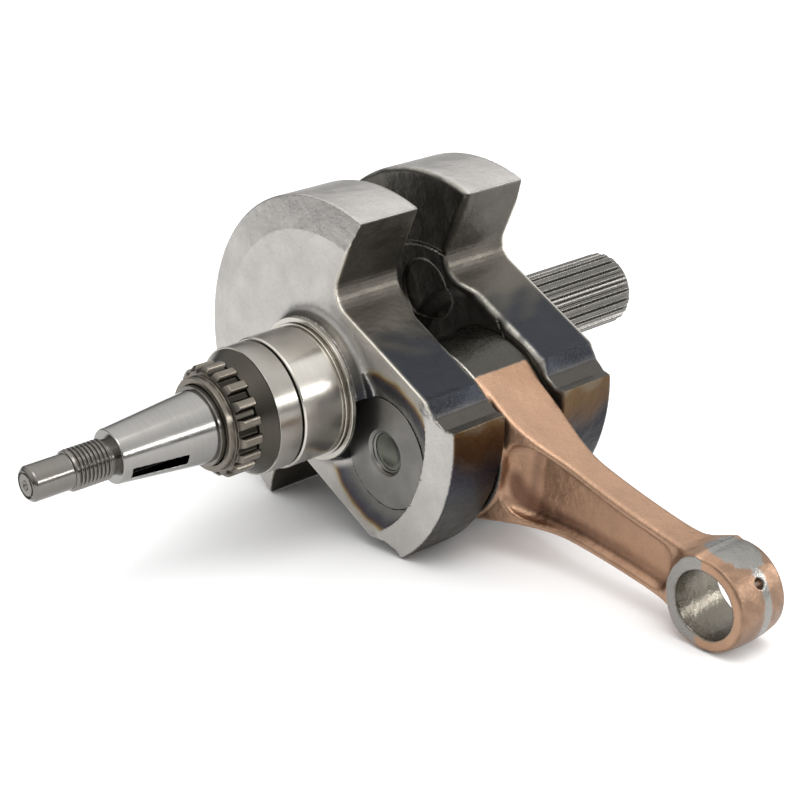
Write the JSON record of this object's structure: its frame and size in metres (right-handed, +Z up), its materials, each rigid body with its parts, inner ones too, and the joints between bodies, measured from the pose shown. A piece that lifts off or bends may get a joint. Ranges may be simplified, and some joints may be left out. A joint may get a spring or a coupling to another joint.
{
  "type": "crankshaft with connecting rod",
  "caption": "Built-up single-throw crankshaft: two webs with counterweights pressed on a hollow pin, a rod in a caged needle bearing, a tapered threaded end and a splined end.",
  "frame": {"origin": "middle of the footprint, on the surface that the crankshaft lies on", "axes": "+X along the crank axis towards the splined end, +Z up, the connecting rod points towards -Y"},
  "size_m": [0.2244, 0.2006, 0.105],
  "materials": {
    "forged_steel": "forged and turned steel, dark oxide on the forged walls, heat tint round the pin",
    "ground_steel": "ground and polished",
    "bright_steel": "polished",
    "copper_plate": "copper-plated forging, satin, bare steel where machined",
    "dark_steel": "dark heat-treated steel",
    "cage_metal": "satin plated"
  },
  "bodies": {
    "crankshaft": {"left_crank_half": "forged_steel", "right_crank_half": "forged_steel", "crankpin": "ground_steel", "pin_plug_left": "bright_steel", "pin_plug_right": "bright_steel", "left_bearing_race": "ground_steel", "seal_collar": "ground_steel", "timing_sprocket": "dark_steel"},
    "rod": {"connecting_rod": "copper_plate"},
    "cage": {"big_end_cage": "cage_metal"},
    "big_end_roller_01": {"big_end_roller_01": "bright_steel"},
    "big_end_roller_02": {"big_end_roller_02": "bright_steel"},
    "big_end_roller_03": {"big_end_roller_03": "bright_steel"},
    "big_end_roller_04": {"big_end_roller_04": "bright_steel"},
    "big_end_roller_05": {"big_end_roller_05": "bright_steel"},
    "big_end_roller_06": {"big_end_roller_06": "bright_steel"},
    "big_end_roller_07": {"big_end_roller_07": "bright_steel"},
    "big_end_roller_08": {"big_end_roller_08": "bright_steel"},
    "big_end_roller_09": {"big_end_roller_09": "bright_steel"},
    "big_end_roller_10": {"big_end_roller_10": "bright_steel"},
    "big_end_roller_11": {"big_end_roller_11": "bright_steel"},
    "big_end_roller_12": {"big_end_roller_12": "bright_steel"},
    "big_end_roller_13": {"big_end_roller_13": "bright_steel"},
    "big_end_roller_14": {"big_end_roller_14": "bright_steel"},
    "big_end_roller_15": {"big_end_roller_15": "bright_steel"},
    "big_end_roller_16": {"big_end_roller_16": "bright_steel"},
    "washer_left": {"thrust_washer_left": "bright_steel"},
    "washer_right": {"thrust_washer_right": "bright_steel"}
  },
  "joints": [
    {"name": "rod_swing", "type": "hinge", "parent": "crankshaft", "child": "rod", "pos_m": [0.0216, 0.01529, 0.03318], "axis": [1, 0, 0], "continuous": true},
    {"name": "cage_spin", "type": "hinge", "parent": "crankshaft", "child": "cage", "pos_m": [0.0216, 0.01529, 0.03318], "axis": [1, 0, 0], "continuous": true},
    {"name": "roller_01_spin", "type": "hinge", "parent": "cage", "child": "big_end_roller_01", "pos_m": [0.0216, -0.00262, 0.02597], "axis": [1, 0, 0], "continuous": true},
    {"name": "roller_02_spin", "type": "hinge", "parent": "cage", "child": "big_end_roller_02", "pos_m": [0.0216, 0.00151, 0.01967], "axis": [1, 0, 0], "continuous": true},
    {"name": "roller_03_spin", "type": "hinge", "parent": "cage", "child": "big_end_roller_03", "pos_m": [0.0216, 0.00773, 0.01543], "axis": [1, 0, 0], "continuous": true},
    {"name": "roller_04_spin", "type": "hinge", "parent": "cage", "child": "big_end_roller_04", "pos_m": [0.0216, 0.0151, 0.01389], "axis": [1, 0, 0], "continuous": true},
    {"name": "roller_05_spin", "type": "hinge", "parent": "cage", "child": "big_end_roller_05", "pos_m": [0.0216, 0.0225, 0.01528], "axis": [1, 0, 0], "continuous": true},
    {"name": "roller_06_spin", "type": "hinge", "parent": "cage", "child": "big_end_roller_06", "pos_m": [0.0216, 0.0288, 0.0194], "axis": [1, 0, 0], "continuous": true},
    {"name": "roller_07_spin", "type": "hinge", "parent": "cage", "child": "big_end_roller_07", "pos_m": [0.0216, 0.03304, 0.02563], "axis": [1, 0, 0], "continuous": true},
    {"name": "roller_08_spin", "type": "hinge", "parent": "cage", "child": "big_end_roller_08", "pos_m": [0.0216, 0.03458, 0.033], "axis": [1, 0, 0], "continuous": true},
    {"name": "roller_09_spin", "type": "hinge", "parent": "cage", "child": "big_end_roller_09", "pos_m": [0.0216, 0.03319, 0.0404], "axis": [1, 0, 0], "continuous": true},
    {"name": "roller_10_spin", "type": "hinge", "parent": "cage", "child": "big_end_roller_10", "pos_m": [0.0216, 0.02907, 0.0467], "axis": [1, 0, 0], "continuous": true},
    {"name": "roller_11_spin", "type": "hinge", "parent": "cage", "child": "big_end_roller_11", "pos_m": [0.0216, 0.02285, 0.05094], "axis": [1, 0, 0], "continuous": true},
    {"name": "roller_12_spin", "type": "hinge", "parent": "cage", "child": "big_end_roller_12", "pos_m": [0.0216, 0.01547, 0.05248], "axis": [1, 0, 0], "continuous": true},
    {"name": "roller_13_spin", "type": "hinge", "parent": "cage", "child": "big_end_roller_13", "pos_m": [0.0216, 0.00807, 0.05109], "axis": [1, 0, 0], "continuous": true},
    {"name": "roller_14_spin", "type": "hinge", "parent": "cage", "child": "big_end_roller_14", "pos_m": [0.0216, 0.00177, 0.04696], "axis": [1, 0, 0], "continuous": true},
    {"name": "roller_15_spin", "type": "hinge", "parent": "cage", "child": "big_end_roller_15", "pos_m": [0.0216, -0.00247, 0.04074], "axis": [1, 0, 0], "continuous": true},
    {"name": "roller_16_spin", "type": "hinge", "parent": "cage", "child": "big_end_roller_16", "pos_m": [0.0216, -0.00401, 0.03337], "axis": [1, 0, 0], "continuous": true},
    {"name": "washer_left_spin", "type": "hinge", "parent": "crankshaft", "child": "washer_left", "pos_m": [0.0216, 0.01529, 0.03318], "axis": [1, 0, 0], "continuous": true},
    {"name": "washer_right_spin", "type": "hinge", "parent": "crankshaft", "child": "washer_right", "pos_m": [0.0216, 0.01529, 0.03318], "axis": [1, 0, 0], "continuous": true}
  ],
  "couplings": [
    {"joint": "cage_spin", "follows": "rod_swing", "ratio": 0.55208},
    {"joint": "roller_01_spin", "follows": "rod_swing", "ratio": 4.7479},
    {"joint": "roller_02_spin", "follows": "rod_swing", "ratio": 4.7479},
    {"joint": "roller_03_spin", "follows": "rod_swing", "ratio": 4.7479},
    {"joint": "roller_04_spin", "follows": "rod_swing", "ratio": 4.7479},
    {"joint": "roller_05_spin", "follows": "rod_swing", "ratio": 4.7479},
    {"joint": "roller_06_spin", "follows": "rod_swing", "ratio": 4.7479},
    {"joint": "roller_07_spin", "follows": "rod_swing", "ratio": 4.7479},
    {"joint": "roller_08_spin", "follows": "rod_swing", "ratio": 4.7479},
    {"joint": "roller_09_spin", "follows": "rod_swing", "ratio": 4.7479},
    {"joint": "roller_10_spin", "follows": "rod_swing", "ratio": 4.7479},
    {"joint": "roller_11_spin", "follows": "rod_swing", "ratio": 4.7479},
    {"joint": "roller_12_spin", "follows": "rod_swing", "ratio": 4.7479},
    {"joint": "roller_13_spin", "follows": "rod_swing", "ratio": 4.7479},
    {"joint": "roller_14_spin", "follows": "rod_swing", "ratio": 4.7479},
    {"joint": "roller_15_spin", "follows": "rod_swing", "ratio": 4.7479},
    {"joint": "roller_16_spin", "follows": "rod_swing", "ratio": 4.7479}
  ]
}
